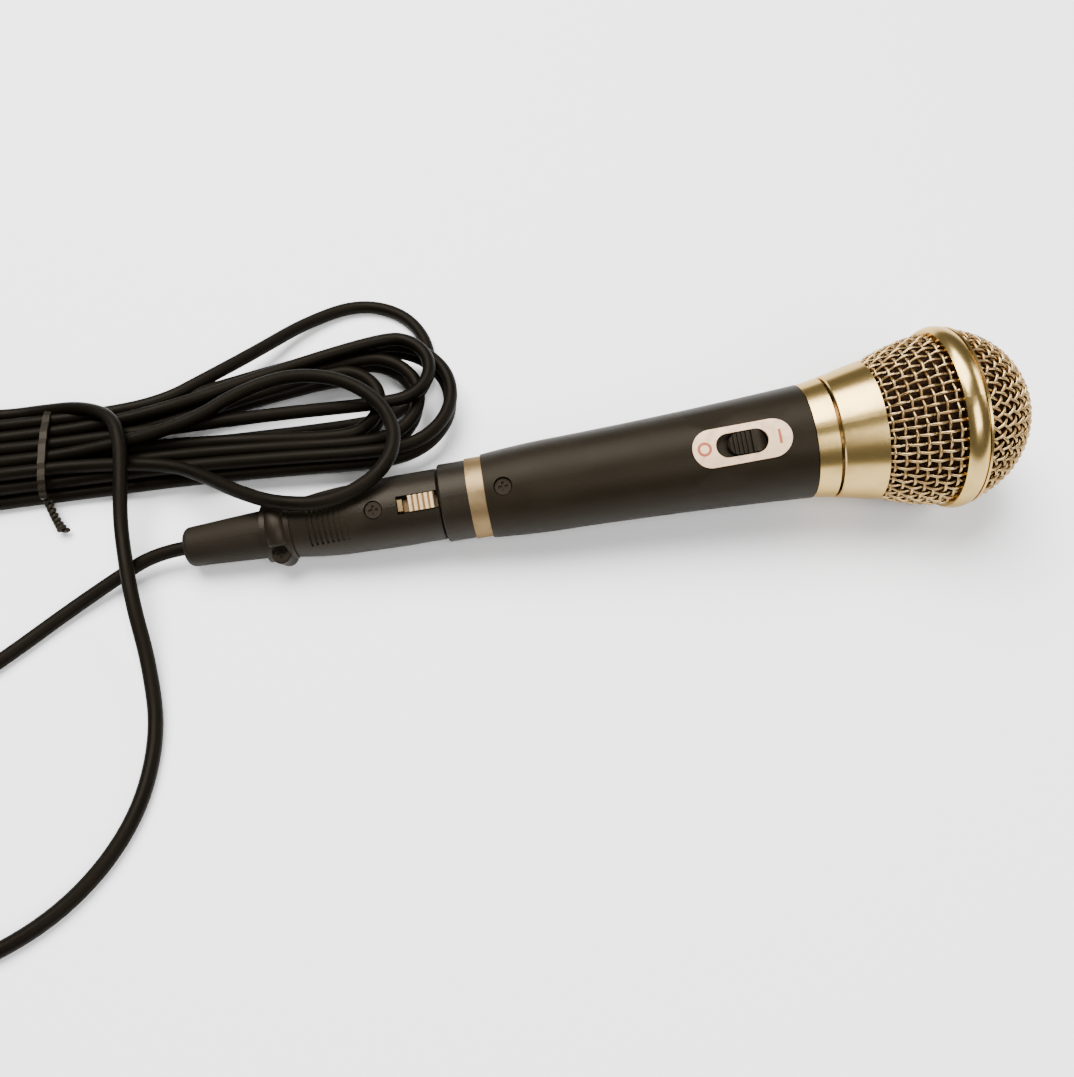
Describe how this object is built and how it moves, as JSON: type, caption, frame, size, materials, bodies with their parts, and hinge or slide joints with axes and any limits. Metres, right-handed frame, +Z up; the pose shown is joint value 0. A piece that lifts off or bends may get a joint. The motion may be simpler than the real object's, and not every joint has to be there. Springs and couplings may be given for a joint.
{
  "type": "karaoke microphone",
  "caption": "Handheld dynamic karaoke microphone with a woven ball grille, slide switch and latching cable connector, its cord tied in a hank that ends in a jack plug.",
  "frame": {"origin": "on the floor under the middle of the microphone's length, cord and jack plug not counted", "axes": "+X from the cord boot to the grille, +Z up, microphone resting on its grille band with its axis rising 5 degrees towards the grille"},
  "size_m": [0.4164, 0.1946, 0.0507],
  "materials": {
    "satin_black_coat": "satin warm black coat",
    "black_plastic": "moulded satin black",
    "black_rubber": "soft matt black",
    "cord_jacket": "smooth dark jacket",
    "polished_gold": "polished gold plate",
    "brushed_gold": "brushed pale gold",
    "wire_mesh": "champagne plated wire",
    "foam": "open-cell dark foam",
    "switch_face": "pale painted plate with red marks",
    "steel": "plain bright steel",
    "black_screw": "blackened steel",
    "nickel": "nickel plate",
    "copper": "enamelled copper",
    "ferrite": "dark ground magnet",
    "clear_film": "thin formed film",
    "ivory_plastic": "moulded insulating plastic"
  },
  "bodies": {
    "handle": {"handle_shell": "satin_black_coat", "tail_collar": "black_plastic", "tail_ring": "brushed_gold", "tail_screw": "black_screw", "socket_insert": "ivory_plastic", "socket_pins": "nickel", "neck_ring": "polished_gold", "thread_bush": "nickel", "shock_mount": "black_rubber", "capsule_case": "black_plastic", "capsule_cap": "nickel", "magnet_pot": "steel", "magnet": "ferrite", "pole_piece": "steel", "voice_coil": "copper", "diaphragm_ring": "ivory_plastic", "diaphragm": "clear_film", "switch_plate": "switch_face", "switch_can": "black_screw", "switch_base": "ivory_plastic", "switch_lugs": "nickel", "capsule_wires": "cord_jacket", "socket_wires": "cord_jacket"},
    "head": {"head_collar": "polished_gold", "grille_skirt": "wire_mesh", "grille_band": "polished_gold", "grille_dome": "wire_mesh", "foam_liner": "foam"},
    "switch": {"switch_knob": "black_plastic", "switch_slider": "black_plastic"},
    "cable": {"plug_shell": "black_plastic", "plug_insert": "black_plastic", "plug_contacts": "nickel", "insert_screw": "black_screw", "latch_leaf": "brushed_gold", "cable_clamp": "black_plastic", "clamp_screws": "black_screw", "cord_boot": "black_rubber", "cord_core": "cord_jacket", "plug_wires": "cord_jacket", "cord_lead": "cord_jacket", "cord_front_loop": "cord_jacket", "cord_back_loop": "cord_jacket", "cord_tail": "cord_jacket", "cord_hank": "cord_jacket", "hank_tie": "black_plastic", "jack_sleeve": "nickel", "jack_insulator": "black_plastic", "jack_tip": "nickel", "jack_barrel": "black_plastic", "jack_boot": "black_rubber", "jack_core": "cord_jacket"},
    "latch": {"latch_button": "polished_gold"}
  },
  "joints": [
    {"name": "mic_unplug", "type": "slide", "parent": "cable", "child": "handle", "axis": [0.9962, 0, 0.0872], "range_m": [0, 0.02]},
    {"name": "head_lift_off", "type": "slide", "parent": "handle", "child": "head", "axis": [0.9962, 0, 0.0872], "range_m": [0, 0.055]},
    {"name": "switch_slide", "type": "slide", "parent": "handle", "child": "switch", "axis": [0.9962, 0, 0.0872], "range_m": [-0.0027, 0]},
    {"name": "latch_press", "type": "slide", "parent": "cable", "child": "latch", "axis": [0.08, 0.3955, -0.915], "range_m": [0, 0.0015], "stiffness_N_per_m": 600}
  ]
}
